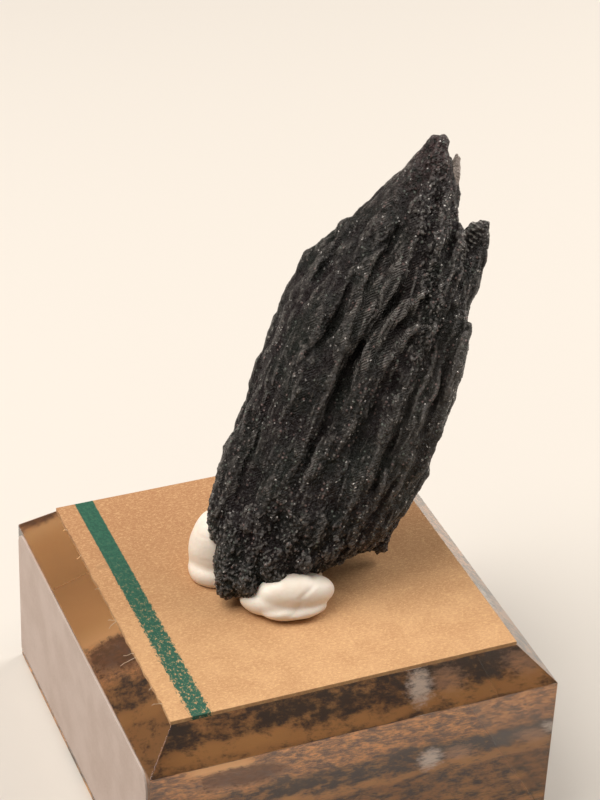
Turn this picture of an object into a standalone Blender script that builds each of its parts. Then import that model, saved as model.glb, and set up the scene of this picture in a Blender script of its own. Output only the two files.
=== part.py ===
"""Feather calcite, set in mineral putty on a clear display block.

Metres, +Z up. The origin is the middle of the underside. The block's label side faces -X.
The crystal is modelled upright in its own frame (X across it, -Y out of its broad front,
Z along it) and is then turned, leaned back and tilted onto the block.
"""
import math
import random

import bmesh
import bpy
from mathutils import Vector

MM = 0.001
GAP = 0.3 * MM                      # clearance that touching pieces keep

# Display block and the papers glued to it
BLOCK_SIDE = 30.0 * MM
TOTAL_HEIGHT = 15.0 * MM            # underside card to top card
CHAMFER = 2.3 * MM
CARD_THICK = 0.3 * MM
LABEL_THICK = 0.2 * MM
LABEL_MARGIN = 0.4 * MM
LABEL_CORNER = 1.2 * MM

# Crystal: how it stands
CRYSTAL_SEAT = Vector((-1.2, -3.9, 18.3)) * MM
TURN = math.radians(-23.2)          # about the vertical
LEAN_BACK = math.radians(33.5)
SIDE_TILT = math.radians(17.4)

# Crystal body: height, left edge, right edge, front, back, all in mm
BODY = (
    (-3.1, -3.6, -2.1, 1.6, 3.0),
    (-1.6, -4.4, 0.2, 0.6, 4.8),
    (1.5, -5.5, 3.4, 0.3, 6.8),
    (5.0, -6.2, 5.6, 0.2, 7.8),
    (10.0, -6.3, 6.6, 0.0, 8.3),
    (17.0, -6.3, 6.6, 0.0, 8.0),
    (21.5, -5.6, 5.8, 0.3, 7.2),
    (25.0, -3.8, 4.9, 0.6, 6.4),
    (27.0, -3.0, 3.1, 0.9, 5.4),
    (29.5, -1.8, 2.2, 1.3, 4.2),
    (31.9, -0.3, 0.6, 1.9, 2.9),
)
BODY_SIDES = 16
BODY_SQUARENESS = 2.5               # 2 is an ellipse, more is boxier
REST_HEIGHT = 0.8 * MM              # lowest broken corner above the top card

# Ridges of the broad front, left to right: foot and tip (across, up), width, rise, in mm
FRONT_RIDGES = (
    ((-5.0, 0.0), (-5.7, 12.0), 1.8, 0.6),
    ((-5.7, 5.0), (-5.0, 22.8), 2.0, 0.5),
    ((-3.9, 6.0), (-3.3, 23.8), 3.0, 0.7),
    ((-2.8, -1.5), (-2.4, 11.5), 2.2, 0.7),
    ((-2.5, 16.0), (-1.3, 29.6), 2.2, 0.6),
    ((-1.9, 5.5), (-1.3, 26.0), 1.9, 0.9),
    ((-0.4, -0.5), (-0.6, 13.0), 1.8, 0.6),
    ((0.3, 9.0), (0.9, 28.5), 1.8, 0.9),
    ((0.6, 19.0), (0.4, 31.0), 1.9, 0.7),
    ((1.2, 0.5), (1.0, 11.0), 1.6, 0.7),
    ((1.1, 12.5), (2.2, 20.5), 1.8, 0.9),
    ((2.3, 18.0), (1.7, 29.2), 1.7, 0.7),
    ((2.3, 2.0), (3.0, 14.5), 1.6, 0.7),
    ((3.7, 15.5), (3.3, 26.2), 1.6, 0.6),
    ((3.3, 3.0), (4.6, 19.0), 1.6, 0.9),
    ((4.8, 4.5), (5.6, 21.0), 1.6, 0.7),
)
# Lanes of blades round the sides and the back
SIDE_LANES = 15
LANES_FROM = math.radians(-22.0)
LANES_TO = math.radians(202.0)
LANE_WIDTH = 2.1 * MM
LANE_RISE = 0.8 * MM
LANE_FEET = (0.5, 3.0)              # where lower blades start, and the ranges below, in mm
LANE_BREAKS = (9.0, 15.0)           # where a lane's lower blade gives way to its upper one
LANE_OVERLAPS = (0.5, 3.0)
LANE_TIPS = (22.5, 30.0)
LANE_STRAY = 0.05                   # sideways scatter of a lane, in radians
LANE_DRIFT = 0.08                   # how far a blade wanders round the body, in radians

# Every blade
BLADE_ROOT = 1.0 * MM               # how deep a blade starts inside the body
BLADE_RINGS = 7
BLADE_HEEL = 0.5                    # share of its width that a blade starts with
BLADE_POINT = 0.12                  # share of its width that a blade ends with
BLADE_SWELL, BLADE_NARROW = 1.8, 2.6
CREST_WOBBLE = 0.12
GROWTH_SEED = 14

# Blades that stand out: foot and tip (across, depth, up), width, depth, bluntness, in mm
SPIKES = (
    ((0.2, 3.2, 17.0), (0.2, 2.4, 32.2), 5.0, 3.4, 0.2),     # main point
    ((3.9, 3.8, 14.0), (5.2, 3.0, 28.0), 3.6, 3.4, 0.1),     # second point
    ((-4.0, 3.2, 12.0), (-4.1, 2.4, 24.4), 3.2, 3.2, 0.25),  # shoulder at the upper left
    ((-5.2, 4.8, 9.0), (-5.8, 4.2, 22.0), 2.6, 3.4, 0.2),    # second layer at the far left
    ((5.2, 5.0, 4.0), (6.3, 4.6, 20.6), 2.6, 4.0, 0.15),     # long blade down the right side
    ((1.0, 4.0, 24.0), (1.7, 3.4, 31.0), 1.5, 1.0, 0.3),     # thin sliver behind the point
    ((4.4, 5.2, 13.0), (5.9, 6.2, 3.2), 3.2, 3.6, 0.35),     # foot that points down at the right
    ((-0.5, 5.4, 14.0), (-1.4, 5.6, 28.6), 3.6, 2.8, 0.12),  # point at the back
    ((2.8, 6.0, 10.0), (3.7, 6.2, 25.2), 3.2, 2.8, 0.12),    # second point at the back
)
# Size of such a blade along its length: (share of the length, share of the full size)
SPIKE_PROFILE = ((0.0, 0.6), (0.35, 1.0), (0.7, 0.75), (0.9, 0.4))
SPIKE_SIDES = 6
# Long grooves between the ridges of the front: foot and tip, width, depth, bluntness, in mm
GROOVES = (
    ((-1.2, -0.5, 5.6), (-0.1, 0.0, 25.0), 0.9, 2.4, 0.1),
    ((-3.0, -0.5, 14.4), (-2.3, 0.1, 22.4), 0.7, 1.8, 0.1),
    ((0.0, -0.6, 16.8), (1.3, 0.0, 22.6), 0.7, 1.8, 0.1),
    ((4.0, 0.1, 6.0), (4.4, 0.4, 20.0), 0.8, 2.0, 0.1),
)
# Knobs of the pebbly ridge, then of the rough nose: place (across, up), radius, in mm
KNOBS = (
    ((1.5, 24.2), 0.7), ((1.9, 22.7), 0.9), ((2.7, 21.5), 0.8), ((3.2, 20.2), 0.9),
    ((3.4, 18.7), 0.9), ((3.0, 17.2), 0.8), ((2.7, 15.6), 0.8), ((2.6, 13.8), 0.7),
    ((2.7, 12.0), 0.7), ((4.3, 23.4), 0.7), ((4.6, 21.8), 0.7), ((-2.6, -1.3), 1.2),
    ((-3.9, 0.2), 1.2), ((-1.1, 0.4), 1.2), ((1.0, 1.2), 1.0), ((-3.3, 2.6), 1.2),
    ((2.6, 2.6), 1.1), ((0.0, 3.4), 1.1), ((-5.2, 3.2), 1.0), ((-1.6, 4.6), 1.0),
)

KNOB_STRETCH = 1.4                  # longer along the crystal than across it
KNOB_SINK = 0.25                    # share of its radius by which a knob sits in the skin

# Pressed folds of the putty: middle on the block, half sizes (mm), turn (degrees)
FOLDS = (
    ((-1.0, -1.2, 15.6), (4.2, 3.6, 2.4), -20.0),            # wad under the crystal
    ((-0.6, -4.2, 16.45), (2.75, 1.45, 1.3), -9.0),          # bulge at the front
    ((-1.75, -4.3, 15.85), (2.6, 1.6, 1.22), -16.0),         # its lower half, on the card
    ((0.8, -5.2, 15.6), (1.45, 0.9, 0.6), 8.0),              # flap folded over at its right end
    ((-4.3, 1.95, 17.0), (1.7, 2.0, 2.75), 12.0),            # bulge at the back left
    ((-4.5, 1.3, 15.5), (1.75, 1.9, 1.0), 30.0),             # foot of that bulge
)
PUTTY_CORE = ((-1.6, -2.4, 15.5), (0.6, 0.4, 16.6))          # low and high corner, inside the wad


def clear_scene():
    for item in list(bpy.data.objects):
        bpy.data.objects.remove(item, do_unlink=True)


def finish(name, colour, roughness, metallic=0.0, transmission=0.0):
    """One Principled material."""
    material = bpy.data.materials.new(name)
    material.use_nodes = True
    shader = material.node_tree.nodes["Principled BSDF"]
    shader.inputs["Base Color"].default_value = (*colour, 1.0)
    shader.inputs["Roughness"].default_value = roughness
    shader.inputs["Metallic"].default_value = metallic
    shader.inputs["Transmission Weight"].default_value = transmission
    return material


def add_object(name, bm, material=None):
    """Close the bmesh into a named object with its faces pointing out."""
    bmesh.ops.recalc_face_normals(bm, faces=bm.faces)
    mesh = bpy.data.meshes.new(name)
    bm.to_mesh(mesh)
    bm.free()
    if material:
        mesh.materials.append(material)
    item = bpy.data.objects.new(name, mesh)
    bpy.context.collection.objects.link(item)
    return item


def loft(bm, rings):
    """Extrude a first ring of points through the others and cap both ends."""
    first = [bm.verts.new(point) for point in rings[0]]
    face = bm.faces.new(first)
    edges = list(face.edges)
    current = first
    for ring in rings[1:]:
        made = bmesh.ops.extrude_edge_only(bm, edges=edges)["geom"]
        new_verts = [item for item in made if isinstance(item, bmesh.types.BMVert)]
        edges = [item for item in made if isinstance(item, bmesh.types.BMEdge)]
        edges = [edge for edge in edges if all(vert in new_verts for vert in edge.verts)]
        following = {}
        for vert in new_verts:
            old = next(edge.other_vert(vert) for edge in vert.link_edges
                       if edge.other_vert(vert) in current)
            following[old] = vert
        current = [following[old] for old in current]
        for vert, point in zip(current, ring):
            vert.co = point
    bm.faces.new(current)


def box(bm, low, high):
    """An axis-aligned box between two corners."""
    made = bmesh.ops.create_cube(bm, size=1.0)["verts"]
    for vert in made:
        for axis in range(3):
            vert.co[axis] = high[axis] if vert.co[axis] > 0 else low[axis]


def helper(item):
    """Mark an object as a cutter or a growth that only a modifier uses."""
    item.hide_render = True
    item.display_type = "WIRE"
    return item


def boolean(item, other, operation, overlapping=False):
    step = item.modifiers.new(f"{operation.lower()} {other.name}", "BOOLEAN")
    step.operation = operation
    step.object = other
    step.solver = "EXACT"
    step.use_self = overlapping


# ---------------------------------------------------------------- block and papers

def make_block():
    half = BLOCK_SIDE / 2
    low = CARD_THICK + GAP
    high = TOTAL_HEIGHT - CARD_THICK - GAP
    bm = bmesh.new()
    box(bm, (-half, -half, low), (half, half, high))
    rim = [edge for edge in bm.edges if all(vert.co.z > (low + high) / 2 for vert in edge.verts)]
    bmesh.ops.bevel(bm, geom=rim, offset=CHAMFER, segments=1, profile=0.5, affect="EDGES")
    add_object("base_block", bm, finish("clear acrylic", (0.9, 0.88, 0.84), 0.04, transmission=1.0))


def make_cards():
    kraft = finish("kraft paper", (0.62, 0.40, 0.22), 0.85)
    half_top = BLOCK_SIDE / 2 - CHAMFER
    bm = bmesh.new()
    box(bm, (-half_top, -half_top, TOTAL_HEIGHT - CARD_THICK), (half_top, half_top, TOTAL_HEIGHT))
    add_object("top_card", bm, kraft)
    half = BLOCK_SIDE / 2
    bm = bmesh.new()
    box(bm, (-half, -half, 0.0), (half, half, CARD_THICK))
    add_object("underside_card", bm, kraft)


def make_label():
    """Paper on the -X side with its two upper corners rounded off."""
    outer = -BLOCK_SIDE / 2 - GAP - LABEL_THICK
    half = BLOCK_SIDE / 2 - LABEL_MARGIN
    low = CARD_THICK + GAP + LABEL_MARGIN
    high = TOTAL_HEIGHT - CARD_THICK - GAP - CHAMFER
    bm = bmesh.new()
    box(bm, (outer, -half, low), (outer + LABEL_THICK, half, high))
    corners = [edge for edge in bm.edges
               if all(vert.co.z > (low + high) / 2 for vert in edge.verts)
               and abs(edge.verts[0].co.x - edge.verts[1].co.x) > LABEL_THICK / 2]
    bmesh.ops.bevel(bm, geom=corners, offset=LABEL_CORNER, segments=4, profile=0.5, affect="EDGES")
    add_object("side_label", bm, finish("pale label paper", (0.60, 0.50, 0.42), 0.8))


# ---------------------------------------------------------------- crystal

def body_at(height):
    """Middle and half sizes of the body at a height, read straight between its stations."""
    pairs = list(zip(BODY, BODY[1:]))
    lower, upper = next((pair for pair in pairs if height <= pair[1][0] * MM), pairs[-1])
    share = (height / MM - lower[0]) / (upper[0] - lower[0])
    share = min(1.0, max(0.0, share))
    left, right, front, back = (MM * (a + (b - a) * share) for a, b in zip(lower[1:], upper[1:]))
    return (left + right) / 2, (right - left) / 2, (front + back) / 2, (back - front) / 2


def rounded(value):
    return math.copysign(abs(value) ** (2.0 / BODY_SQUARENESS), value)


def skin(angle, height, grow=0.0):
    """Point on the body. Angle 0 is the right side and -90 degrees the front."""
    middle_x, half_x, middle_y, half_y = body_at(height)
    return Vector((middle_x + (half_x + grow) * rounded(math.cos(angle)),
                   middle_y + (half_y + grow) * rounded(math.sin(angle)), height))


def outward(angle, height):
    """Level direction that points straight out of the skin."""
    nudge = 0.02
    along = skin(angle + nudge, height) - skin(angle - nudge, height)
    return Vector((along.y, -along.x, 0.0)).normalized()


def body_rings(grow):
    rings = []
    for station in BODY:
        height = station[0] * MM
        rings.append([skin(2 * math.pi * index / BODY_SIDES, height, grow)
                      for index in range(BODY_SIDES)])
    return rings


def front_angle(across, height):
    """Angle at which the front of the skin lies at a place across it."""
    middle_x, half_x, _, _ = body_at(height)
    share = max(-0.98, min(0.98, (across - middle_x) / half_x))
    return -math.acos(math.copysign(abs(share) ** (BODY_SQUARENESS / 2.0), share))


def add_blade(bm, route, width, rise, chance, grow=0.0):
    """A ridge with an uneven crest along a route of (angle, height), run out to a point."""
    rings = []
    for index, (angle, height) in enumerate(route):
        share = index / (len(route) - 1)
        out = outward(angle, height)
        side = Vector((-out.y, out.x, 0.0))
        taper = max(BLADE_POINT,
                    min(1.0, BLADE_HEEL + BLADE_SWELL * share, BLADE_NARROW * (1.0 - share)))
        middle = skin(angle, height) + side * chance.uniform(-CREST_WOBBLE, CREST_WOBBLE) * width
        half = width / 2 * taper * chance.uniform(0.85, 1.15) + grow
        crest = rise * taper * chance.uniform(0.65, 1.25) + grow
        sunk = -BLADE_ROOT * (0.4 + 0.6 * taper) - grow
        lean = chance.uniform(-0.25, 0.45)
        rings.append([middle - side * half + out * sunk,
                      middle - side * half + out * (crest * 0.3),
                      middle + side * (half * lean) + out * crest,
                      middle + side * half + out * (crest * 0.2),
                      middle + side * half + out * sunk])
    loft(bm, rings)


def add_spike(bm, foot, tip, width, depth, blunt, grow=0.0):
    """A straight pointed blade between two places, widest a third of the way up."""
    foot, tip = Vector(foot) * MM, Vector(tip) * MM
    axis = tip - foot
    across = Vector((0.0, 1.0, 0.0)).cross(axis).normalized()
    through = axis.cross(across).normalized()
    half_width, half_depth = width * MM / 2, depth * MM / 2
    turns = [2 * math.pi * index / SPIKE_SIDES for index in range(SPIKE_SIDES)]
    rings = []
    for share, size in (*SPIKE_PROFILE, (1.0, blunt)):
        middle = foot + axis * share
        rings.append([middle + across * math.cos(turn) * (half_width * size + grow)
                      + through * math.sin(turn) * (half_depth * size + grow) for turn in turns])
    loft(bm, rings)


def add_knob(bm, place, radius, chance, grow=0.0):
    """A rough knob, a little longer along the crystal, half sunk in the front."""
    across, height = place[0] * MM, place[1] * MM
    angle = front_angle(across, height)
    middle = skin(angle, height) - outward(angle, height) * (radius * MM * KNOB_SINK)
    made = bmesh.ops.create_icosphere(bm, subdivisions=1, radius=1.0)["verts"]
    for vert in made:
        size = radius * MM * chance.uniform(0.8, 1.1) + grow
        vert.co = middle + Vector((vert.co.x, vert.co.y, vert.co.z * KNOB_STRETCH)) * size


def crystal_growths(grow=0.0):
    """All ridges, spikes and knobs, each a closed body that overlaps the crystal's own."""
    chance = random.Random(GROWTH_SEED)
    steps = [index / (BLADE_RINGS - 1) for index in range(BLADE_RINGS)]
    bm = bmesh.new()
    for foot, tip, width, rise in FRONT_RIDGES:
        route = []
        for step in steps:
            across = (foot[0] + (tip[0] - foot[0]) * step) * MM
            height = (foot[1] + (tip[1] - foot[1]) * step) * MM
            route.append((front_angle(across, height), height))
        add_blade(bm, route, width * MM, rise * MM, chance, grow)
    for lane in range(SIDE_LANES):
        angle = LANES_FROM + (LANES_TO - LANES_FROM) * lane / (SIDE_LANES - 1)
        break_at = chance.uniform(*LANE_BREAKS)
        spans = ((chance.uniform(*LANE_FEET), break_at + chance.uniform(*LANE_OVERLAPS)),
                 (break_at - chance.uniform(*LANE_OVERLAPS), chance.uniform(*LANE_TIPS)))
        for low, high in spans:
            turned = angle + chance.uniform(-LANE_STRAY, LANE_STRAY)
            drift = chance.uniform(-LANE_DRIFT, LANE_DRIFT)
            route = [(turned + drift * step, (low + (high - low) * step) * MM) for step in steps]
            add_blade(bm, route, LANE_WIDTH * chance.uniform(0.75, 1.2),
                      LANE_RISE * chance.uniform(0.7, 1.2), chance, grow)
    for spike in SPIKES:
        add_spike(bm, *spike, grow)
    for place, radius in KNOBS:
        add_knob(bm, place, radius, chance, grow)
    return bm


def place_crystal(item):
    item.location = CRYSTAL_SEAT
    item.rotation_mode = "YXZ"
    item.rotation_euler = (-LEAN_BACK, SIDE_TILT, TURN)


def make_crystal():
    bm = bmesh.new()
    loft(bm, body_rings(0.0))
    calcite = finish("dark feather calcite", (0.022, 0.019, 0.020), 0.38)
    crystal = add_object("feather_crystal", bm, calcite)
    place_crystal(crystal)

    growths = helper(add_object("crystal_growths", crystal_growths()))
    place_crystal(growths)
    boolean(crystal, growths, "UNION", overlapping=True)

    bm = bmesh.new()
    for groove in GROOVES:
        add_spike(bm, *groove)
    grooves = helper(add_object("crystal_grooves", bm))
    place_crystal(grooves)
    boolean(crystal, grooves, "DIFFERENCE")

    bm = bmesh.new()
    box(bm, (-BLOCK_SIDE, -BLOCK_SIDE, 0.0), (BLOCK_SIDE, BLOCK_SIDE, TOTAL_HEIGHT + REST_HEIGHT))
    boolean(crystal, helper(add_object("broken_base", bm)), "DIFFERENCE")


# ---------------------------------------------------------------- putty

def make_putty():
    bm = bmesh.new()
    for middle, size, turn in FOLDS:
        made = bmesh.ops.create_icosphere(bm, subdivisions=3, radius=MM)["verts"]
        turned = math.radians(turn)
        for vert in made:
            x, y = vert.co.x * size[0], vert.co.y * size[1]
            vert.co = Vector(middle) * MM + Vector((
                x * math.cos(turned) - y * math.sin(turned),
                x * math.sin(turned) + y * math.cos(turned), vert.co.z * size[2]))
    folds = helper(add_object("putty_folds", bm))

    bm = bmesh.new()
    box(bm, *(Vector(corner) * MM for corner in PUTTY_CORE))
    putty = add_object("mounting_putty", bm, finish("mineral putty", (0.80, 0.72, 0.62), 0.5))
    boolean(putty, folds, "UNION", overlapping=True)

    bm = crystal_growths(GAP)
    loft(bm, body_rings(GAP))
    seat = helper(add_object("putty_seat", bm))
    place_crystal(seat)
    boolean(putty, seat, "DIFFERENCE", overlapping=True)

    bm = bmesh.new()
    box(bm, (-BLOCK_SIDE, -BLOCK_SIDE, 0.0), (BLOCK_SIDE, BLOCK_SIDE, TOTAL_HEIGHT + GAP))
    boolean(putty, helper(add_object("putty_underside", bm)), "DIFFERENCE")


clear_scene()
make_block()
make_cards()
make_label()
make_crystal()
make_putty()
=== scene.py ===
import math
import random

import bpy
import numpy
from mathutils import Euler, Matrix, Vector, noise


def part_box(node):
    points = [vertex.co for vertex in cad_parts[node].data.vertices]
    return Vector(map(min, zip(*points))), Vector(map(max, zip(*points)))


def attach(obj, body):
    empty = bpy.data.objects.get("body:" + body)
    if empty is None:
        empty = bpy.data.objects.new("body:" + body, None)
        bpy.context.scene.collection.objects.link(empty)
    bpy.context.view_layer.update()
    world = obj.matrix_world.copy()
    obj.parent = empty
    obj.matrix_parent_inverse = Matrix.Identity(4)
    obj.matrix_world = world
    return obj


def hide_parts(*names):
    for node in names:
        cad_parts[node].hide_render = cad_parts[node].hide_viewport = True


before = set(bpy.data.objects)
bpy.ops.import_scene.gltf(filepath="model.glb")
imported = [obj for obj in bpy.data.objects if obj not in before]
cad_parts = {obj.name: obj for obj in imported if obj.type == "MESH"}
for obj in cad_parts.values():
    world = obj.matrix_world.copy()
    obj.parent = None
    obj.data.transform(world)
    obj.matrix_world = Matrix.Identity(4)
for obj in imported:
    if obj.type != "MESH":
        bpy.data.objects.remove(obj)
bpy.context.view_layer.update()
MM = 0.001


# ---- Underside card ---------------------------------------------------------------------------
# A square of kraft paper glued under the block. The glue has soaked it in dark patches, and what
# shows through the block's front and chamfers is this card, seen from inside the clear plastic.

class Field:
    """A number that varies over a surface. Sums written on it add Math nodes to its finish."""

    def __init__(self, finish, socket):
        self.finish = finish
        self.socket = socket

    def math(self, operation, *others):
        """One Math node on this number and up to two others."""
        made = self.finish.add("Math", {"operation": operation},
                               dict(enumerate((self,) + others)))
        return Field(self.finish, made.outputs[0])

    def __add__(self, other):
        return self.math("ADD", other)

    def __sub__(self, other):
        return self.math("SUBTRACT", other)

    def __mul__(self, other):
        return self.math("MULTIPLY", other)

    def __rsub__(self, other):
        return self.math("MULTIPLY_ADD", -1.0, other)

    __radd__ = __add__
    __rmul__ = __mul__

    def size(self):
        """The number without its sign."""
        return self.math("ABSOLUTE")

    def step(self, low, high):
        """0 below low, 1 above high and smooth between; it falls where low is the larger."""
        made = self.finish.add("MapRange", {"interpolation_type": "SMOOTHSTEP"},
                               {"Value": self, "From Min": low, "From Max": high})
        return Field(self.finish, made.outputs["Result"])


class Finish:
    """One piece's material: its Principled shader and the nodes that feed it, in millimetres."""

    def __init__(self, name, **plain):
        self.material = bpy.data.materials.new(name)
        self.material.use_nodes = True
        self.tree = self.material.node_tree
        self.shader = self.tree.nodes["Principled BSDF"]
        for socket, value in plain.items():
            self.shader.inputs[socket.replace("_", " ")].default_value = value
        self.place = self.mapped((0, 0, 0), (0, 0, 0), (MM, MM, MM))

    def add(self, kind, settings=None, sockets=None):
        """A node of a kind, with its settings made first and then its sockets' values or links."""
        node = self.tree.nodes.new("ShaderNode" + kind)
        for name, value in (settings or {}).items():
            setattr(node, name, value)
        for name, value in (sockets or {}).items():
            self.feed(node.inputs[name], value)
        return node

    def feed(self, socket, value):
        """Link a socket to a field or to a node's output, or set its value."""
        source = value.socket if isinstance(value, Field) else value
        if isinstance(source, bpy.types.NodeSocket):
            self.tree.links.new(source, socket)
        else:
            socket.default_value = source

    def mapped(self, location, rotation, scale):
        """Object coordinates measured from a place, along turned axes, in steps of scale."""
        position = self.add("TexCoord").outputs["Object"]
        return self.add("Mapping", {"vector_type": "TEXTURE"},
                        {"Vector": position, "Location": location, "Rotation": rotation,
                         "Scale": scale}).outputs[0]

    def stretched(self, place, factors):
        """A place with each axis multiplied, to stretch the pattern that reads it."""
        made = self.add("VectorMath", {"operation": "MULTIPLY"}, {0: place, 1: factors})
        return made.outputs[0]

    def axis(self, place, name):
        """One coordinate of a place."""
        return Field(self, self.add("SeparateXYZ", None, {0: place}).outputs[name])

    def noise(self, place, scale, detail=3.0, roughness=0.55, distortion=0.0):
        """Cloudy noise, mostly between 0.3 and 0.7, with scale lumps to each step of the place."""
        made = self.add("TexNoise", None, {"Vector": place, "Scale": scale, "Detail": detail,
                                           "Roughness": roughness, "Distortion": distortion})
        return Field(self, made.outputs[0])

    def mix(self, factor, first, second):
        """The first colour where the factor is 0 and the second where it is 1."""
        made = self.add("Mix", {"data_type": "RGBA"}, {0: factor, 6: first, 7: second})
        return made.outputs[2]

    def bump(self, height, distance):
        """A surface direction for relief of this height field, distance mm deep."""
        made = self.add("Bump", None,
                        {"Height": height, "Distance": distance * MM, "Strength": 1.0})
        return made.outputs[0]

    def shade(self, **sockets):
        """Feed the shader's sockets, whose names are given with _ for each space."""
        for name, value in sockets.items():
            self.feed(self.shader.inputs[name.replace("_", " ")], value)


def pick(piece):
    """Make this the only selected and the active object."""
    bpy.ops.object.select_all(action="DESELECT")
    piece.select_set(True)
    bpy.context.view_layer.objects.active = piece


def slab(name, low, high):
    """A plain block between two corners, its place in its mesh."""
    bpy.ops.object.select_all(action="DESELECT")
    low, high = Vector(low), Vector(high)
    bpy.ops.mesh.primitive_cube_add(size=1.0, location=(low + high) / 2, scale=high - low)
    piece = bpy.context.object
    piece.name = piece.data.name = name
    bpy.ops.object.transform_apply(location=True, rotation=True, scale=True)
    return piece


def bevel_edges(piece, width, segments, test):
    """Bevel in edit mode the edges that pass a test on their two end points."""
    pick(piece)
    bpy.ops.object.mode_set(mode="EDIT")
    bpy.ops.mesh.select_mode(type="EDGE")
    bpy.ops.mesh.select_all(action="DESELECT")
    bpy.ops.object.mode_set(mode="OBJECT")
    points = piece.data.vertices
    for edge in piece.data.edges:
        edge.select = test(*(points[index].co for index in edge.vertices))
    bpy.ops.object.mode_set(mode="EDIT")
    bpy.ops.mesh.bevel(offset=width, segments=segments)
    bpy.ops.object.mode_set(mode="OBJECT")


def wear(piece, finish, slot, *nodes):
    """Give a finished piece its material, attach it to the root body and hide the CAD nodes that it
    stands for. The slot is not used.
    """
    piece.data.materials.clear()
    piece.data.materials.append(finish.material)
    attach(piece, "root")
    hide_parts(*nodes)


CARD_INSET = 0.01 * MM                 # how far the card's cut edges stand in from the block's
CARD_EDGE = 0.05 * MM                  # rounding of its lower edges
GLUED = 0.03 * MM                      # how far a glued face is set into the plastic
SEAT_LOW = 0.29 * MM                   # underside of the block
card_low, card_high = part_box("underside_card")
underside = slab("underside_kraft",
                 card_low + Vector((CARD_INSET, CARD_INSET, 0)),
                 (card_high.x - CARD_INSET, card_high.y - CARD_INSET, SEAT_LOW + GLUED))
bevel_edges(underside, CARD_EDGE, 2, lambda a, b: max(a.z, b.z) < SEAT_LOW / 2)

# The glue's pattern and a painted glint, in mm across and along the block from its middle.
PAINTED_GLINT_SPOT = Vector((9.7, 0.45, 0)) * MM      # where a painted highlight sits: a pale spot painted on the card for a glint in the front chamfer
PAINTED_GLINT_TURN = math.radians(-20)
PAINTED_GLINT_LAYERS = (                              # aside, half sizes, strength and tint of each
    (2.2, (1.6, 1.9), 0.6, (0.80, 0.46, 0.26, 1)),
    (0.0, (1.05, 2.3), 1.0, (1.0, 0.88, 0.76, 1)),
)
LEFT_PART = -5.2                             # middle of the more thinly glued left part
STAIN_ACROSS, STAIN_ALONG = -4.2, 5.5        # middle of a brown stain
STAIN_SQUEEZE = 0.55                         # it is wider across the block than along it
CLEAR_STRIP = -1.3                           # a strip that took little glue
HEAVY_STRIP = 1.4                            # a strip that took the most
glued = Finish("glue-soaked kraft")
across = glued.axis(glued.place, "X")
along = glued.axis(glued.place, "Y")
sway = glued.noise(glued.place, 0.22, 2.0) - 0.5
depth = along + sway * 3.0
blotch = glued.noise(glued.place, 0.80, 5.0, 0.68, 0.2)
specks = glued.noise(glued.stretched(glued.place, (0.8, 1.2, 1.0)), 2.2, 5.0, 0.75)
tone = glued.noise(glued.place, 0.20, 2.0)
back_part = depth.step(2.0, 4.5)             # the glue is thicker and darker in the front half
clear_strip = (depth - CLEAR_STRIP).size().step(1.2, 0.3)
left_part = (across - LEFT_PART).size().step(3.2, 1.8)
stain_across = (across - STAIN_ACROSS) * STAIN_SQUEEZE
stain_along = along - STAIN_ALONG
stain = stain_across * stain_across + stain_along * stain_along
plain_corner = along.step(7.1, 7.9) * left_part
heavy = (depth - HEAVY_STRIP).size().step(2.4, 0.8)
spread = blotch * 0.66 + specks * 0.34 + heavy * 0.085 - clear_strip * 0.09
spread = spread - plain_corner * 0.2 - left_part * 0.06
soaked = spread.step(0.40, 0.62)
front_paper = glued.mix(tone.step(0.38, 0.62), (0.60, 0.295, 0.095, 1), (0.47, 0.22, 0.070, 1))
back_paper = glued.mix(specks.step(0.35, 0.65), (0.92, 0.45, 0.170, 1), (0.56, 0.27, 0.115, 1))
bleached = glued.mix(along.step(10.0, 6.5), (0.80, 0.40, 0.14, 1), (1.0, 0.58, 0.25, 1))
back_paper = glued.mix(plain_corner, back_paper, bleached)
paper = glued.mix(back_part, front_paper, back_paper)
paper = glued.mix(clear_strip * 0.6, paper, (0.76, 0.385, 0.125, 1))
dark = glued.mix(back_part, (0.022, 0.013, 0.008, 1), (0.130, 0.068, 0.040, 1))
stained = (stain + (blotch - 0.5) * 16.0 + (specks - 0.5) * 6.0).step(5.0, 1.5)
stain_colour = glued.mix(specks.step(0.35, 0.65),
                         (0.110, 0.045, 0.017, 1), (0.270, 0.110, 0.036, 1))
paper = glued.mix(stained * 0.9, paper, stain_colour)
soaked_paper = glued.mix(soaked * 0.92, paper, dark)
# Painted highlight: a pale spot in two layers, a glint painted onto the card where the front
# chamfer catches the light.
for aside, (half_width, half_length), strength, tint in PAINTED_GLINT_LAYERS:
    spot = glued.mapped(PAINTED_GLINT_SPOT + Vector((aside, 0, 0)) * MM, (0, 0, PAINTED_GLINT_TURN),
                        (half_width * MM, half_length * MM, MM))
    reach = glued.add("VectorMath", {"operation": "LENGTH"}, {0: spot}).outputs["Value"]
    bare = (Field(glued, reach) + (specks - 0.5) * 1.8).step(1.25, 0.3)
    soaked_paper = glued.mix(bare * strength, soaked_paper, tint)
glued.shade(Base_Color=soaked_paper,
            Roughness=0.8 - soaked * 0.25,
            Normal=glued.bump(specks, 0.02))
wear(underside, glued, "kraft_underside", "underside_card")


# ---- Base block -------------------------------------------------------------------------------
# A square block of clear acrylic, cut, given a 45 degree chamfer round its top and polished all
# over, so that its arrises are barely broken.

BLOCK_TOP = 14.72 * MM
CHAMFER = 2.3 * MM
ARRIS = 0.045 * MM                     # width of the broken corners
block_low, block_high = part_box("base_block")
block = slab("clear_block", (block_low.x, block_low.y, SEAT_LOW),
             (block_high.x, block_high.y, BLOCK_TOP))
bevel_edges(block, CHAMFER, 1, lambda a, b: min(a.z, b.z) > BLOCK_TOP - MM)
bevel_edges(block, ARRIS, 2, lambda a, b: max(a.z, b.z) > SEAT_LOW + MM)

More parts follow.
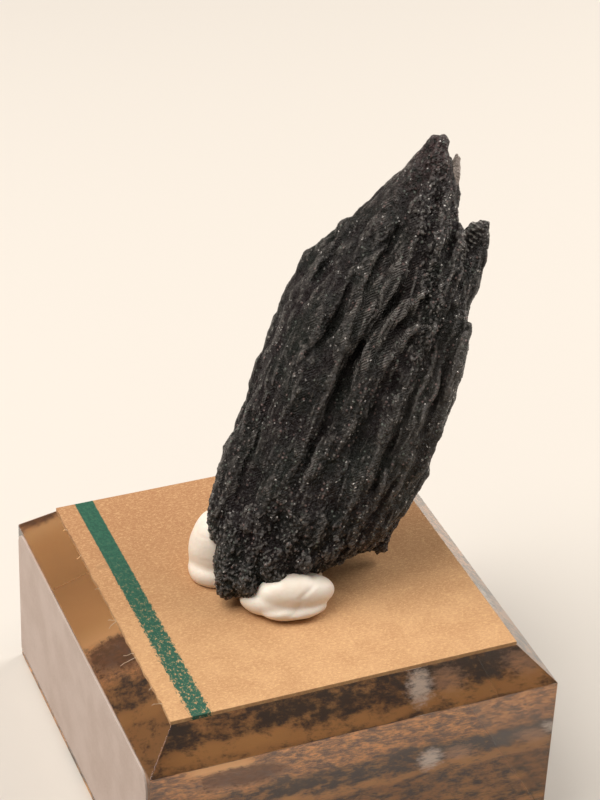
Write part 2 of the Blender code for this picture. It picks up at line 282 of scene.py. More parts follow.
acrylic = Finish("clear acrylic", Transmission_Weight=1.0, IOR=1.49,
                 Base_Color=(0.99, 0.975, 0.95, 1))
haze = acrylic.noise(acrylic.place, 0.5, 4.0, 0.6)
acrylic.shade(Roughness=haze.step(0.50, 0.85) * 0.04 + 0.006)
wear(block, acrylic, "acrylic", "base_block")


# ---- Side label -------------------------------------------------------------------------------
# A pale paper label stuck on the block's left side, its two upper corners rounded. It is bare.

LABEL_THICK = 0.14 * MM
LABEL_CORNER = 1.2 * MM
LABEL_TOP = BLOCK_TOP - CHAMFER - 0.15 * MM
label_low, label_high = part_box("side_label")
side_face = block_low.x
label = slab("label_paper", (side_face - LABEL_THICK, label_low.y, label_low.z),
             (side_face + GLUED, label_high.y, LABEL_TOP))
bevel_edges(label, LABEL_CORNER, 6,
            lambda a, b: min(a.z, b.z) > LABEL_TOP - MM and abs(a.x - b.x) > LABEL_THICK / 2)

plain_paper = Finish("bare label paper", Roughness=0.7)
pulp = plain_paper.noise(plain_paper.place, 5.0, 5.0, 0.7)
cloud = plain_paper.noise(plain_paper.place, 0.35, 2.0)
sheet_colour = plain_paper.mix(cloud.step(0.3, 0.7),
                               (0.50, 0.385, 0.325, 1), (0.57, 0.455, 0.395, 1))
plain_paper.shade(Base_Color=plain_paper.mix(pulp.step(0.3, 0.75) * 0.25, sheet_colour,
                                             (0.68, 0.58, 0.52, 1)),
                  Normal=plain_paper.bump(pulp, 0.012))
wear(label, plain_paper, "label", "side_label")


# ---- Top card ---------------------------------------------------------------------------------
# Kraft paper glued over the block's top, cut a little ragged along its left edge, with a green
# stripe printed from front to back. The ink is solid at the back and dry and broken at the front.

CARD_CUTS = 60                         # rows of points across the card, to carry its waves
RAGGED, TORN_RATE = 0.10 * MM, 900     # how far the torn left edge wanders; wiggles to a metre
SAG, SAG_RATE = 0.02 * MM, 300         # how far the top dips in places; dips to a metre
NEAR = 0.01 * MM                       # points this near a face are taken to be on it
top_low, top_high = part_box("top_card")
top_card = slab("kraft_top", (top_low.x, top_low.y, BLOCK_TOP - GLUED), top_high)
pick(top_card)
bpy.ops.object.mode_set(mode="EDIT")
bpy.ops.mesh.select_all(action="SELECT")
bpy.ops.mesh.subdivide(number_cuts=CARD_CUTS)
bpy.ops.object.mode_set(mode="OBJECT")
for point in top_card.data.vertices:
    torn = noise.fractal(Vector((0.0, point.co.y * TORN_RATE, 3.0)), 0.6, 2.2, 5)
    if point.co.x < top_low.x + NEAR:
        point.co.x += RAGGED * (torn - 0.3)
    if point.co.z > top_high.z - NEAR:
        point.co.z -= SAG * (0.5 + 0.5 * noise.noise(point.co * SAG_RATE))

STRIPE_LEFT, STRIPE_RIGHT = -11.3, -9.9      # mm across the block
SOLID_INK, DRY_INK = 8.0, -9.0               # mm from the middle: where the ink is full and dry
CREASE_ACROSS, CREASE_BACK = -11.5, 4.8      # mm: a small crease that crosses the stripe's edge
kraft = Finish("kraft paper")
across = kraft.axis(kraft.place, "X")
back = kraft.axis(kraft.place, "Y")
fibres = kraft.noise(kraft.stretched(kraft.place, (1.0, 1.6, 1.0)), 4.2, 6.0, 0.78, 0.8)
flecks = kraft.noise(kraft.place, 8.0, 3.0, 0.7)
mottle = kraft.noise(kraft.place, 0.45, 3.0, 0.6)
sheet = kraft.mix(mottle.step(0.3, 0.7), (0.49, 0.262, 0.118, 1), (0.56, 0.315, 0.148, 1))
# Painted shade: the sheet is painted darker towards the back.
sheet = kraft.mix(back.step(-9.0, 11.0) * 0.75, sheet, (0.355, 0.160, 0.067, 1))
sheet = kraft.mix(fibres.step(0.45, 0.66) * 0.55, sheet, (0.78, 0.50, 0.24, 1))
sheet = kraft.mix(fibres.step(0.47, 0.32) * 0.50, sheet, (0.44, 0.23, 0.10, 1))
sheet = kraft.mix(flecks.step(0.66, 0.76) * 0.5, sheet, (0.34, 0.18, 0.08, 1))

dryness = back.step(SOLID_INK, DRY_INK)
wander = kraft.noise(kraft.stretched(kraft.place, (2.0, 1.0, 1.0)), 2.6, 4.0, 0.75) - 0.5
middle = (STRIPE_LEFT + STRIPE_RIGHT) / 2
reach = (STRIPE_RIGHT - STRIPE_LEFT) / 2
from_middle = (across - middle).size() + wander * (dryness * 1.1 + 0.15)
inside = from_middle.step(reach + 0.05, reach - 0.05)
gaps = kraft.noise(kraft.stretched(kraft.place, (1.0, 0.7, 1.0)), 4.2, 4.0, 0.8)
ink = inside * (1 - gaps.step(0.54, 0.62) * (dryness * 0.9 + 0.05))
green = kraft.mix(gaps.step(0.35, 0.62), (0.005, 0.062, 0.034, 1), (0.010, 0.105, 0.058, 1))
crease = (back - CREASE_BACK).size().step(0.28, 0.08)
crease = crease * (across - CREASE_ACROSS).size().step(0.75, 0.55)
# Painted shade in the crease: its paper is painted darker, besides the dent that it cuts in the
# relief.
sheet = kraft.mix(crease * 0.7, sheet, (0.40, 0.22, 0.10, 1))
kraft.shade(Base_Color=kraft.mix(ink, sheet, green), Roughness=0.9 - ink * 0.25,
            Normal=kraft.bump(fibres * 0.7 + flecks * 0.3 - crease * 0.8, 0.035))
wear(top_card, kraft, "kraft", "top_card")


# ---- Loose fibres -----------------------------------------------------------------------------
# Paper fibres that stand out of the top card's torn left edge. Each is a fine bent hair that
# starts inside the sheet and droops over the chamfer.

FIBRE_THICK = 0.018 * MM
FIBRE_STEPS = 6
FIBRE_ROOT, FIBRE_DEPTH = 0.3, 0.06          # mm: where it starts, in from the edge and down
FIBRE_CURL = 0.06                            # mm that it wanders to either side
FIBRE_DROOP = 0.30                           # mm that it sinks for each mm that it reaches out
FIBRE_ENDS = (                               # (back, reach out, reach along) in mm
    (-10.9, 0.6, 0.5), (-8.6, 0.3, -0.4), (-5.4, 1.2, -0.3), (-5.1, 0.7, 0.2),
    (-1.5, 0.5, 0.6), (-1.2, 0.7, -0.5), (2.4, 0.3, 0.3), (6.8, 0.4, -0.3), (9.7, 0.3, 0.4),
)
hairs = bpy.data.curves.new("paper_fibres", "CURVE")
hairs.dimensions = "3D"
hairs.bevel_depth = FIBRE_THICK
hairs.bevel_resolution = 1
hairs.use_fill_caps = True
curl = random.Random(5)
for start, outward, sideways in FIBRE_ENDS:
    line = hairs.splines.new("POLY")
    line.points.add(FIBRE_STEPS)
    for index, point in enumerate(line.points):
        share = index / FIBRE_STEPS
        bend = curl.uniform(-FIBRE_CURL, FIBRE_CURL)
        drop = FIBRE_DEPTH + FIBRE_DROOP * share * share * outward
        point.co = (top_low.x + (FIBRE_ROOT - (FIBRE_ROOT + outward) * share) * MM,
                    (start + sideways * share + bend) * MM,
                    top_high.z - drop * MM, 1.0)
strands = bpy.data.objects.new("paper_fibres", hairs)
bpy.context.scene.collection.objects.link(strands)
pick(strands)
bpy.ops.object.convert(target="MESH")
strands = bpy.context.object
fluff = Finish("pale paper fibre", Roughness=0.8)
fluff_tone = fluff.noise(fluff.place, 2.0)
fluff.shade(Base_Color=fluff.mix(fluff_tone.step(0.3, 0.7), (0.70, 0.50, 0.30, 1),
                                 (0.85, 0.70, 0.52, 1)))
strands.data.materials.clear()
strands.data.materials.append(fluff.material)
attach(strands, "root")


# ---- Mounting putty ---------------------------------------------------------------------------
# Cream mineral putty, pressed by hand round the crystal's foot. A bulge with soft folds and a
# flap is squeezed out at the front, and a smooth egg-shaped one at the back left.

FOLDS = (
    # middle on the block (mm), half sizes (mm), turn about each axis (degrees)
    ((-0.6, -1.0, 15.6), (3.2, 3.1, 2.4), (0, 0, -20)),          # wad under the crystal
    ((-0.45, -4.0, 16.4), (2.85, 1.55, 1.25), (0, 2, -10)),      # bulge at the front
    ((-0.8, -4.75, 15.55), (2.4, 1.3, 0.62), (0, 0, -6)),        # flap folded under it
    ((-2.6, -3.9, 15.8), (1.95, 1.0, 0.85), (0, 0, -35)),        # its left end, drawn out
    ((-4.28, 2.05, 16.95), (1.72, 2.0, 2.85), (-12, 14, 12)),    # egg-shaped bulge, back left
    ((-4.55, 1.35, 15.5), (1.8, 1.95, 1.1), (0, 0, 30)),         # its foot, spread on the card
)
PUTTY_VOXEL = 0.10 * MM
PUTTY_ROUNDS = 22                      # rounds of smoothing that run the lumps together
PUTTY_FLOOR = 15.0 * MM                # top of the card
lumps = []
for middle_mm, half_sizes, turn in FOLDS:
    bpy.ops.object.select_all(action="DESELECT")
    bpy.ops.mesh.primitive_ico_sphere_add(
        subdivisions=4, radius=MM, location=Vector(middle_mm) * MM,
        rotation=[math.radians(angle) for angle in turn], scale=half_sizes)
    lumps.append(bpy.context.object)
for lump in lumps:
    lump.select_set(True)
bpy.ops.object.join()
putty = bpy.context.object
putty.name = putty.data.name = "pressed_putty"
bpy.ops.object.transform_apply(location=True, rotation=True, scale=True)


def apply_modifier(piece, kind, **settings):
    """Add a modifier with these settings and apply it."""
    pick(piece)
    step = piece.modifiers.new(kind.lower(), kind)
    for name, value in settings.items():
        setattr(step, name, value)
    bpy.ops.object.modifier_apply(modifier=step.name)


apply_modifier(putty, "REMESH", mode="VOXEL", voxel_size=PUTTY_VOXEL)
apply_modifier(putty, "SMOOTH", factor=0.5, iterations=PUTTY_ROUNDS)


def push_out(piece, lowest, amount):
    """Move every point along its normal by amount(place) in mm, but never below lowest."""
    points = piece.data.vertices
    normals = [point.normal.copy() for point in points]
    heights = [amount(point.co) for point in points]
    for point, normal, height in zip(points, normals, heights):
        moved = point.co + normal * height * MM
        point.co = (moved.x, moved.y, max(moved.z, lowest))


DENT_DEPTH, DENT_RATE = 0.10, 330            # mm; dents to a metre
CREASE_DEPTH, FAINT_CREASE = 0.07, 0.015     # mm, on the front bulge and behind it
CREASE_REACH = 0.10                          # share of the folds' noise that a crease takes up
FOLD_RATE, FOLD_STACK = 150, 600             # folds to a metre, along the bulge and up it
FRONT_BULGE = -1.0 * MM                      # the front bulge lies in front of this line


def pressed(place):
    """Soft dents left by fingers, and thin creases that run along the front bulge."""
    dent = noise.fractal(place * DENT_RATE, 0.9, 2.0, 2)
    fold = abs(noise.noise(Vector((place.x * FOLD_RATE, place.y * FOLD_RATE + 5,
                                   place.z * FOLD_STACK))))
    creased = CREASE_DEPTH if place.y < FRONT_BULGE else FAINT_CREASE
    return DENT_DEPTH * dent - creased * max(0.0, CREASE_REACH - fold) / CREASE_REACH


push_out(putty, PUTTY_FLOOR - 0.01 * MM, pressed)
pick(putty)
bpy.ops.object.shade_smooth()

clay = Finish("mineral putty", Subsurface_Weight=0.12, Subsurface_Scale=0.8 * MM)
clay_tone = clay.noise(clay.place, 0.6, 3.0)
clay_skin = clay.noise(clay.place, 2.2, 4.0, 0.6)
clay.shade(Base_Color=clay.mix(clay_tone.step(0.3, 0.7), (0.86, 0.75, 0.63, 1),
                               (0.93, 0.84, 0.73, 1)),
           Roughness=clay_skin.step(0.3, 0.7) * 0.15 + 0.36,
           Normal=clay.bump(clay_skin, 0.03))
wear(putty, clay, "putty", "mounting_putty")


# ---- Feather calcite --------------------------------------------------------------------------
# One growth of near-black calcite: long overlapping blades with feathered, grainy faces, a main
# point and a second one beside it. It leans back, its broken foot pressed into the putty.

CRYSTAL_SEAT = Vector((-1.2, -3.9, 18.3)) * MM       # where the growth's own frame starts
LEAN_BACK, SIDE_TILT, TURN = math.radians(33.5), math.radians(17.4), math.radians(-23.2)
growth_axes = Euler((-LEAN_BACK, SIDE_TILT, TURN), "YXZ").to_matrix()
to_growth = growth_axes.inverted()
COARSE_VOXEL, FINE_VOXEL = 0.15 * MM, 0.138 * MM
SAME_POINT = 0.001 * MM

pick(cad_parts["feather_crystal"])
bpy.ops.object.duplicate()
crystal = bpy.context.object
crystal.name = crystal.data.name = "calcite_growth"
bpy.ops.object.mode_set(mode="EDIT")
bpy.ops.mesh.select_all(action="SELECT")
bpy.ops.mesh.remove_doubles(threshold=SAME_POINT)
bpy.ops.object.mode_set(mode="OBJECT")
BLADES = (
    # start, end in the crystal's own frame (mm: across, deep, along), half width, half depth
    ((-3.9, 3.0, 24.5), (-5.4, 2.6, 17.0), 0.50, 0.90),     # upper blade of the left shoulder
    ((-4.9, 3.0, 23.0), (-6.3, 3.0, 14.0), 0.50, 0.90),     # lower blade of the left shoulder
    ((0.3, 0.0, 23.4), (-1.5, -0.3, 13.6), 0.42, 0.50),     # fingers down the middle
    ((2.7, 0.1, 22.0), (0.1, -0.3, 17.0), 0.42, 0.55),
    ((-0.3, 0.2, 22.5), (-1.4, 0.0, 18.2), 0.28, 0.42),
    ((4.0, 0.4, 20.2), (1.1, -0.2, 16.6), 0.38, 0.50),
    ((1.7, -0.1, 17.4), (0.4, -0.2, 8.0), 0.62, 0.42),
    ((3.7, 0.2, 17.8), (2.6, 0.0, 6.0), 0.62, 0.50),
    ((6.3, 1.6, 20.8), (6.5, 2.0, 14.4), 0.55, 1.10),       # blade that steps out at the right
    ((1.45, 3.3, 31.7), (2.1, 3.4, 28.4), 0.45, 0.55),      # pale sliver behind the point
    ((3.2, 1.9, 27.2), (4.2, 1.8, 22.6), 0.72, 0.85),       # grains in the notch
    ((5.22, 3.0, 28.1), (5.2, 3.0, 22.6), 0.46, 0.60),      # outer edge of the second point
    ((3.6, 3.0, 26.2), (5.15, 3.0, 28.0), 0.40, 0.60),      # its upper edge
    ((1.6, 2.2, 30.0), (2.5, 2.6, 25.0), 0.45, 0.60),       # right edge of the main point
    ((0.9, 0.5, 21.5), (-0.9, 0.45, 7.0), 0.70, 0.48),      # stone in the bed of the main groove
    ((2.6, 0.6, 18.0), (2.2, 0.5, 7.0), 0.60, 0.48),
    ((4.6, 0.9, 18.5), (4.2, 1.1, 5.0), 0.60, 0.48),
    ((5.0, 4.4, 9.0), (5.35, 4.5, 3.9), 0.85, 1.50),        # corner of the foot at the right
    ((3.0, 4.2, 6.5), (5.1, 4.4, 3.0), 1.00, 1.40),
    ((-6.0, 2.6, 9.0), (-5.3, 2.2, 0.0), 1.20, 1.30),       # knob of the foot at the left
    ((-4.9, 1.8, 3.5), (-3.2, 1.2, -3.5), 1.05, 1.20),
    ((-3.2, 1.0, -1.0), (-1.5, 0.9, -2.5), 0.95, 1.10),     # bottom edge of the foot, on the putty
    ((-2.0, 1.0, 0.0), (0.4, 0.9, -1.2), 0.85, 1.00),
    ((-0.62, 2.6, 31.5), (-2.1, 2.6, 27.2), 0.36, 0.70),    # left edge of the main point
    ((-3.75, 3.0, 24.9), (-4.65, 3.0, 23.2), 0.48, 0.80),   # lobes down the left shoulder
    ((-4.8, 3.0, 23.2), (-5.6, 3.0, 21.4), 0.50, 0.80),
)
POINTS = (
    # base, tip, half width at the base, share of it kept at the blunt tip
    ((0.3, 2.6, 28.3), (-0.15, 2.3, 32.35), 1.70, 0.38),    # main point
    ((4.3, 3.1, 23.5), (5.15, 3.0, 28.0), 1.40, 0.16),      # second point
)
POINT_FLATNESS = 0.7                   # depth of a point as a share of its width
POINT_SIDES = 9
GROOVES = (
    # depth, half width, then the line it follows down the front: across and along, all in mm
    (0.24, 0.34, ((-0.7, 25.2), (-1.3, 21.3), (-2.4, 17.5), (-3.6, 14.6))),
    (0.14, 0.26, ((1.1, 22.2), (0.4, 19.2), (-0.6, 15.3), (-0.2, 13.1), (-1.0, 9.9), (-1.1, 7.2))),
    (0.16, 0.24, ((3.3, 19.5), (2.1, 16.1), (1.8, 11.7), (1.5, 6.8))),
    (0.18, 0.26, ((4.7, 23.0), (4.5, 17.7), (4.1, 11.7), (3.8, 6.0))),
    (0.20, 0.20, ((-1.2, 24.1), (-3.0, 21.3))),
    (0.32, 0.26, ((-4.1, 23.6), (-4.6, 21.8), (-5.2, 19.6))),
    (0.32, 0.26, ((-5.0, 13.6), (-5.2, 11.0), (-5.0, 6.6), (-5.1, 3.6))),
    (0.28, 0.24, ((6.1, 20.2), (5.7, 18.3), (5.8, 14.8), (5.5, 9.7), (4.6, 5.5))),
    (0.30, 0.24, ((3.0, 26.8), (3.3, 24.0), (4.0, 21.5))),
)
# The line of rough pebbles down the front from the main point: across and along, in mm.
PEBBLES = ((0.2, 30.6), (1.0, 28.5), (0.5, 26.4), (1.7, 24.6), (2.7, 22.0), (4.0, 19.6),
           (3.6, 16.5))


def across_axes(start, end):
    """Axes whose Z runs from start to end and whose Y stays with the crystal's depth."""
    along = (end - start).normalized()
    side = Vector((0, 1, 0)).cross(along).normalized()
    return Matrix((side, along.cross(side), along)).transposed()


def in_crystal(lump, start, end, scale):
    """Set a new lump between two places in the crystal's own frame."""
    start, end = Vector(start), Vector(end)
    lump.rotation_euler = (growth_axes @ across_axes(start, end)).to_euler()
    lump.location = CRYSTAL_SEAT + growth_axes @ (start + end) / 2 * MM
    lump.scale = Vector(scale) * MM
    return lump


lumps = [crystal]
for start, end, half_width, half_depth in BLADES:
    bpy.ops.object.select_all(action="DESELECT")
    bpy.ops.mesh.primitive_ico_sphere_add(subdivisions=3, radius=1.0)
    half_length = (Vector(end) - Vector(start)).length / 2
    lumps.append(in_crystal(bpy.context.object, start, end, (half_width, half_depth, half_length)))
for base, tip, half_width, blunt in POINTS:
    bpy.ops.object.select_all(action="DESELECT")
    bpy.ops.mesh.primitive_cone_add(vertices=POINT_SIDES, radius1=1.0, radius2=blunt, depth=1.0)
    tip_length = (Vector(tip) - Vector(base)).length
    lumps.append(in_crystal(bpy.context.object, base, tip,
                            (half_width, half_width * POINT_FLATNESS, tip_length)))
for lump in lumps:
    lump.select_set(True)
bpy.context.view_layer.objects.active = crystal
bpy.ops.object.join()
bpy.ops.object.transform_apply(location=True, rotation=True, scale=True)
apply_modifier(crystal, "REMESH", mode="VOXEL", voxel_size=COARSE_VOXEL)


def grain(across, depth, along, at, octaves=3, rough=0.8):
    """Noise in the crystal's own frame with lumps of these sizes, in mm. A shifted at gives
    another pattern."""
    return noise.fractal(Vector((at.x / across, at.y / depth, at.z / along)), rough, 2.0, octaves)


def from_line(x, z, line):
    """Distance in mm on the front from a place to a line of points."""
    nearest = 99.0
    for (x0, z0), (x1, z1) in zip(line, line[1:]):
        run, rise = x1 - x0, z1 - z0
        share = ((x - x0) * run + (z - z0) * rise) / (run * run + rise * rise)
        share = max(0.0, min(1.0, share))
        nearest = min(nearest, math.hypot(x - x0 - share * run, z - z0 - share * rise))
    return nearest


def fade(value, low, high):
    """0 at low and 1 at high, smooth between."""
    share = max(0.0, min(1.0, (value - low) / (high - low)))
    return share * share * (3 - 2 * share)


MID_DEPTH, FRONT_DEPTH = 3.0, 1.5      # mm: the front's relief fades out between these depths
WAVE_HEIGHT, CHIP_HEIGHT = 0.10, 0.15  # mm
GROOVE_SWAY = 0.22                     # mm that the grooves wander to either side
RIB_HEIGHT, UPPER_RIBS = 0.15, 0.11    # mm, and what the upper half has more
PEBBLE_HEIGHT, ROUGH_PEBBLES = 0.05, 0.25    # mm, and what the rough parts have more


def in_growth(place):
    """A place in the crystal's own frame, in mm."""
    return to_growth @ (place - CRYSTAL_SEAT) / MM


def grooved_and_chipped(place):
    """Dark grooves down the front, slow waves along the blades and chips on their edges."""
    at = in_growth(place)
    moved = WAVE_HEIGHT * grain(2.6, 2.6, 6.0, at)
    moved += CHIP_HEIGHT * grain(1.0, 1.0, 1.5, at + Vector((40, 0, 0)))
    if at.y < MID_DEPTH:
        sway = GROOVE_SWAY * grain(0.9, 0.9, 2.2, at + Vector((0, 20, 0)), 2)
        for depth, half_width, line in GROOVES:
            gap = from_line(at.x + sway, at.z, line)
            if gap < half_width:
                sunk = fade(half_width - gap, 0.0, half_width)
                moved -= depth * sunk * fade(at.y, MID_DEPTH, FRONT_DEPTH)
    return moved


def ribbed_and_pebbled(place):
    """Rounded ribs along the blades, pebbles down the rough line and over the broken foot."""
    at = in_growth(place)
    bend = 0.5 * grain(1.5, 1.5, 3.0, at + Vector((0, 70, 0)), 2)
    ribs = abs(grain(0.62, 0.62, 5.0, at + Vector((bend, 70, 0)), 2)) - 0.25
    pebbles = abs(grain(0.40, 0.40, 0.46, at + Vector((0, 0, 90)), 2)) - 0.2
    broad_face = fade(at.x, -0.6, -1.6) * fade(at.z, 12.0, 16.0)
    foot = fade(at.z, 7.0, 1.0)
    line = fade(from_line(at.x, at.z, PEBBLES), 1.0, 0.4) * fade(at.y, MID_DEPTH, FRONT_DEPTH)
    rough = max(line, foot * 0.9)
    upper = fade(at.z, 11.0, 17.0)
    ribbing = (RIB_HEIGHT + UPPER_RIBS * upper) * (1 - 0.7 * broad_face) * (1 - 0.4 * rough)
    return ribbing * ribs + (PEBBLE_HEIGHT + ROUGH_PEBBLES * rough) * pebbles


# The lower half is worn smooth, away from the two side edges and the foot; the upper half a little.
WORN_MIDDLE, WORN_REACH = 0.2, (5.6, 4.4)      # mm across: the middle, and how far the wear reaches
WORN_BELOW = (18.0, 14.0)                      # mm along: the full wear starts and is complete
WORN_FOOT = (3.0, 6.5)                         # mm along: the wear ends at the foot and is complete
WORN_ABOVE = 0.15                              # share of the wear in the upper half
WEAR_ROUNDS = 60
worn = crystal.vertex_groups.new(name="worn_front")
for point in crystal.data.vertices:
    at = in_growth(point.co)
    inner = fade(abs(at.x - WORN_MIDDLE), *WORN_REACH)
    lower = WORN_ABOVE + (1 - WORN_ABOVE) * fade(at.z, *WORN_BELOW)
    share = inner * lower * fade(at.z, *WORN_FOOT)
    worn.add([point.index], share, "REPLACE")
apply_modifier(crystal, "SMOOTH", factor=0.5, iterations=WEAR_ROUNDS, vertex_group="worn_front")
push_out(crystal, PUTTY_FLOOR, grooved_and_chipped)
apply_modifier(crystal, "REMESH", mode="VOXEL", voxel_size=FINE_VOXEL)
push_out(crystal, PUTTY_FLOOR + 0.1 * MM, ribbed_and_pebbled)


def mark_relief(piece, name, rounds):
    """Keep on each point how far it stands, in mm, above its surroundings smoothed over rounds."""
    mesh = piece.data
    count = len(mesh.vertices)
    places = numpy.empty(count * 3)
    mesh.vertices.foreach_get("co", places)
    normals = numpy.empty(count * 3)
    mesh.vertices.foreach_get("normal", normals)
    ends = numpy.empty(len(mesh.edges) * 2, dtype=int)
    mesh.edges.foreach_get("vertices", ends)
    places, normals, ends = places.reshape(-1, 3), normals.reshape(-1, 3), ends.reshape(-1, 2)
    start = numpy.concatenate((ends[:, 0], ends[:, 1]))
    neighbour = numpy.concatenate((ends[:, 1], ends[:, 0]))
    shared = numpy.bincount(start, minlength=count)[:, None]
    smooth = places
    for _ in range(rounds):
        sums = [numpy.bincount(start, smooth[neighbour, axis], count) for axis in range(3)]
        smooth = (smooth + numpy.stack(sums, 1) / shared) / 2
    stands = ((places - smooth) * normals).sum(1) / MM
    mesh.attributes.new(name, "FLOAT", "POINT").data.foreach_set("value", stands)


FINE_ROUNDS, BROAD_ROUNDS = 4, 40
mark_relief(crystal, "fine_relief", FINE_ROUNDS)
mark_relief(crystal, "broad_relief", BROAD_ROUNDS)
pick(crystal)
bpy.ops.object.shade_smooth()

calcite = Finish("dark feather calcite", IOR=1.5, Specular_IOR_Level=0.26)
growth_turn = growth_axes.to_euler("XYZ")
growth = calcite.mapped(CRYSTAL_SEAT, growth_turn, (MM, MM, MM))
side = calcite.axis(growth, "X")
up = calcite.axis(growth, "Z")


def crystal_patch(centre, half_sizes):
    """Distance from a place in the crystal's frame, 1 on an ellipsoid of these half sizes."""
    middle = CRYSTAL_SEAT + growth_axes @ Vector(centre) * MM
    patch = calcite.mapped(middle, growth_turn, Vector(half_sizes) * MM)
    measured = calcite.add("VectorMath", {"operation": "LENGTH"}, {0: patch})
    return Field(calcite, measured.outputs["Value"])


# Barbs: fine slanting hatches that change slant from rib to rib, as on a feather.
BARB_PITCH, RIB_PITCH, RUNG_PITCH = 0.23, 1.1, 0.37          # mm
tint = calcite.noise(growth, 0.28, 3.0)
warp = calcite.noise(calcite.stretched(growth, (1.0, 1.0, 0.5)), 1.3, 3.0) - 0.5
fold = (((side + warp * 1.2) * (1 / RIB_PITCH)).math("FRACT") - 0.5).size()
barb_turn = (up + fold * 1.1 + warp * 0.9) * (2 * math.pi / BARB_PITCH)
barbs = barb_turn.math("SINE") * 0.5 + 0.5
granules = calcite.noise(growth, 3.6, 5.0, 0.72)
feathered = calcite.noise(growth, 0.8, 2.0).step(0.42, 0.58)

# Rungs: short level bars on the left side of the second point.
near_second_tip = crystal_patch((4.7, 2.2, 25.9), (1.3, 1.6, 2.4)).step(1.05, 0.85)
rung_turn = (side * 0.28 + up * 0.96 + warp * 0.45) * (2 * math.pi / RUNG_PITCH)
rung_patch = (side - up * 0.28).step(-2.15, -2.75) * (granules - 0.3).step(0.0, 0.3)
rungs = (rung_turn.math("SINE") * 0.5 + 0.5) * rung_patch

# Scales and glints: small cleaved grains, each with its own shade and tilt.
scales = calcite.add("TexVoronoi", None, {"Vector": growth, "Scale": 4.2})
scale_lift = Field(calcite, scales.outputs["Distance"])
scale_parts = calcite.add("SeparateColor", None, {0: scales.outputs["Color"]})
scale_value = Field(calcite, scale_parts.outputs[0])
scale_shade = Field(calcite, scale_parts.outputs[1])
glints = calcite.add("TexVoronoi", None, {"Vector": growth, "Scale": 5.0})
glint_value = Field(calcite, calcite.add("SeparateColor", None,
                                         {0: glints.outputs["Color"]}).outputs[0])
glint_near = Field(calcite, glints.outputs["Distance"])

# Ridges: what stands proud of its surroundings is painted paler, as a painted highlight.
edge = Field(calcite, calcite.add("Attribute", {"attribute_name": "fine_relief"}).outputs["Fac"])
swell = Field(calcite, calcite.add("Attribute", {"attribute_name": "broad_relief"}).outputs["Fac"])
smooth_face = side.step(-0.4, -1.8) * up.step(11.0, 16.0)
thread = calcite.noise(calcite.stretched(growth, (1.0, 1.0, 0.15)), 1.9, 4.0, 0.6, 0.3) - 0.5
ribs = thread.size().step(0.0, 0.13)
raised = (swell + edge * 2.0 + (granules - 0.5) * 0.20).step(-0.03, 0.15)
ridge = raised * (ribs * 0.7 + 0.3)
near_fingers = crystal_patch((0.6, 0.6, 19.0), (3.3, 2.5, 6.5)).step(1.1, 0.6)
hatch = barbs * (feathered * 0.5 + near_fingers * 0.5)
glint = (glint_value + ridge * 0.20 - smooth_face * 0.02).step(0.955, 0.985)
glint = glint * (glint_near + (granules - 0.5) * 0.8).step(0.42, 0.22)

stone = calcite.mix(tint.step(0.35, 0.65), (0.0125, 0.0076, 0.0080, 1), (0.0084, 0.0098, 0.0072, 1))
# Painted highlight on the ridges.
stone = calcite.mix(ridge * 0.9, stone, (0.062, 0.0550, 0.0490, 1))
# Painted light: the right-hand side is painted paler, as if more lit, most on its ridges and
# granules.
painted_light_side = crystal_patch((5.6, 2.2, 14.0), (3.2, 4.0, 9.5)).step(1.15, 0.5)
stone = calcite.mix(painted_light_side * (ridge * 0.5 + granules * 0.5), stone, (0.085, 0.077, 0.066, 1))
# Painted highlight along the finest crests.
stone = calcite.mix(edge.step(0.012, 0.050) * 0.9, stone, (0.115, 0.105, 0.100, 1))
# Painted highlight and sheen: pale hatch lines on the ridges, strongest near the finger ribs; the
# hatches are also cut in the relief.
stone = calcite.mix(hatch * (ridge + near_fingers * 0.2), stone, (0.210, 0.190, 0.170, 1))
# Painted highlights: pale specks on the granules, mostly on the ridges.
stone = calcite.mix(granules.step(0.55, 0.68) * (ridge * 0.8 + 0.1), stone, (0.30, 0.270, 0.240, 1))

# Crumbs: pale rosy and greenish grains, thickest down the right-hand side and in the notch.
crumbly = crystal_patch((2.6, 1.2, 22.0), (2.6, 3.0, 9.0)).step(1.3, 0.6)
crumb = (scale_value + ridge * 0.20 + crumbly * 0.10 - smooth_face * 0.08).step(0.74, 1.02)
notch_grains = crystal_patch((3.9, 1.8, 24.2), (1.5, 2.0, 2.6)).step(1.15, 0.6)
crumb = crumb + notch_grains * granules.step(0.50, 0.62) * 0.5
crumb = crumb * (scale_lift + (granules - 0.5) * 0.5).step(0.50, 0.15)
crumb_colour = calcite.mix(scale_shade.step(0.3, 0.7),
                           (0.270, 0.180, 0.165, 1), (0.195, 0.220, 0.185, 1))
stone = calcite.mix(crumb * 0.9, stone, crumb_colour)
rosy_end = up.step(23.0, 33.0) * tint.step(0.35, 0.60) * granules.step(0.4, 0.6)
stone = calcite.mix(rosy_end * 0.6, stone, (0.085, 0.042, 0.044, 1))
# Painted highlight on the rungs: pale bars, which are also cut in the relief.
stone = calcite.mix(near_second_tip * rungs.step(0.35, 0.85) * 0.9, stone, (0.46, 0.43, 0.39, 1))
stone = calcite.mix(glint, stone, (0.50, 0.47, 0.44, 1))
pale_sliver = crystal_patch((1.85, 3.4, 30.6), (0.65, 0.9, 2.2)).step(1.05, 0.85)
stone = calcite.mix(pale_sliver * 0.9, stone, (0.46, 0.38, 0.33, 1))

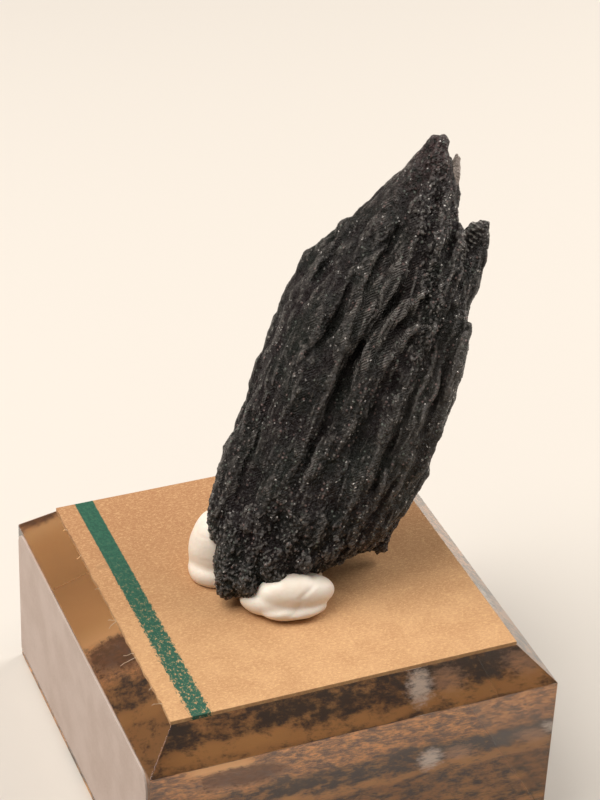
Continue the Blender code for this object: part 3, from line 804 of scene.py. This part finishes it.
GLINT_TILT = 0.42
RELIEF_DEPTH = 0.40                                          # mm
tilt = calcite.add("VectorMath", {"operation": "SUBTRACT"},
                   {0: glints.outputs["Color"], 1: (0.5, 0.5, 0.5)}).outputs[0]
tilt = calcite.add("VectorMath", {"operation": "SCALE"}, {0: tilt, "Scale": GLINT_TILT}).outputs[0]
fine = granules * 0.55 + thread.size() * (1 - smooth_face) * 1.3 - scale_lift * 0.35
fine = fine + hatch * 0.24 + rungs * near_second_tip * 0.5
relief = calcite.bump(fine, RELIEF_DEPTH)
turned = calcite.add("VectorMath", {"operation": "ADD"}, {0: relief, 1: tilt}).outputs[0]
calcite.shade(Base_Color=stone, Roughness=0.32 - scale_value * 0.18, Metallic=glint * 0.85,
              Normal=calcite.add("VectorMath", {"operation": "NORMALIZE"}, {0: turned}).outputs[0])
wear(crystal, calcite, "calcite", "feather_crystal")


# ---- Floor, light and camera ------------------------------------------------------------------
# A plain pale floor, a wide soft light overhead, a weaker one at the right, and the camera.

FLOOR_SIZE = 6.0                                          # m
SKY_STRENGTH = 0.19
bpy.ops.object.select_all(action="DESELECT")
bpy.ops.mesh.primitive_plane_add(size=FLOOR_SIZE, location=(0, 0, 0))
floor = bpy.context.object
floor.name = "pale_floor"
pale = Finish("pale floor", Roughness=0.6, Base_Color=(0.68, 0.635, 0.575, 1))
floor.data.materials.append(pale.material)

sky = bpy.data.worlds.new("soft studio")
bpy.context.scene.world = sky
sky.use_nodes = True
sky.node_tree.nodes["Background"].inputs["Color"].default_value = (1.0, 0.95, 0.88, 1)
sky.node_tree.nodes["Background"].inputs["Strength"].default_value = SKY_STRENGTH


def soft_light(name, place, aim, size, power, colour):
    """A square lamp of this size (m) and power (W), aimed at a point."""
    lamp = bpy.data.lights.new(name, "AREA")
    lamp.size = size
    lamp.energy = power
    lamp.color = colour
    item = bpy.data.objects.new(name, lamp)
    item.location = place
    item.rotation_euler = (Vector(aim) - Vector(place)).to_track_quat("-Z", "Y").to_euler()
    bpy.context.scene.collection.objects.link(item)


soft_light("key softbox", (-0.13, 0.07, 0.27), (0, 0, 0.01), 0.26, 1.12, (1.0, 0.965, 0.93))
soft_light("right softbox", (0.24, 0.05, 0.20), (0, 0, 0.02), 0.22, 0.74, (1.0, 0.96, 0.92))
bpy.context.scene.view_settings.view_transform = "Standard"

FOCAL_LENGTH = 115.47                                     # mm on a 36 mm frame
CAMERA_PLACE = Vector((-56.86, -134.70, 126.80)) * MM
CAMERA_AZIMUTH, CAMERA_ELEVATION = math.radians(-23.245), math.radians(33.541)
CAMERA_ROLL = math.radians(2.487)
lens = bpy.data.cameras.new("camera")
lens.lens = FOCAL_LENGTH
lens.sensor_width = 36.0
lens.clip_start = 0.005
camera = bpy.data.objects.new("camera", lens)
looking = Euler((math.pi / 2 - CAMERA_ELEVATION, 0, CAMERA_AZIMUTH)).to_matrix()
camera.rotation_euler = (looking @ Euler((0, 0, CAMERA_ROLL)).to_matrix()).to_euler()
camera.location = CAMERA_PLACE
bpy.context.scene.collection.objects.link(camera)
bpy.context.scene.camera = camera
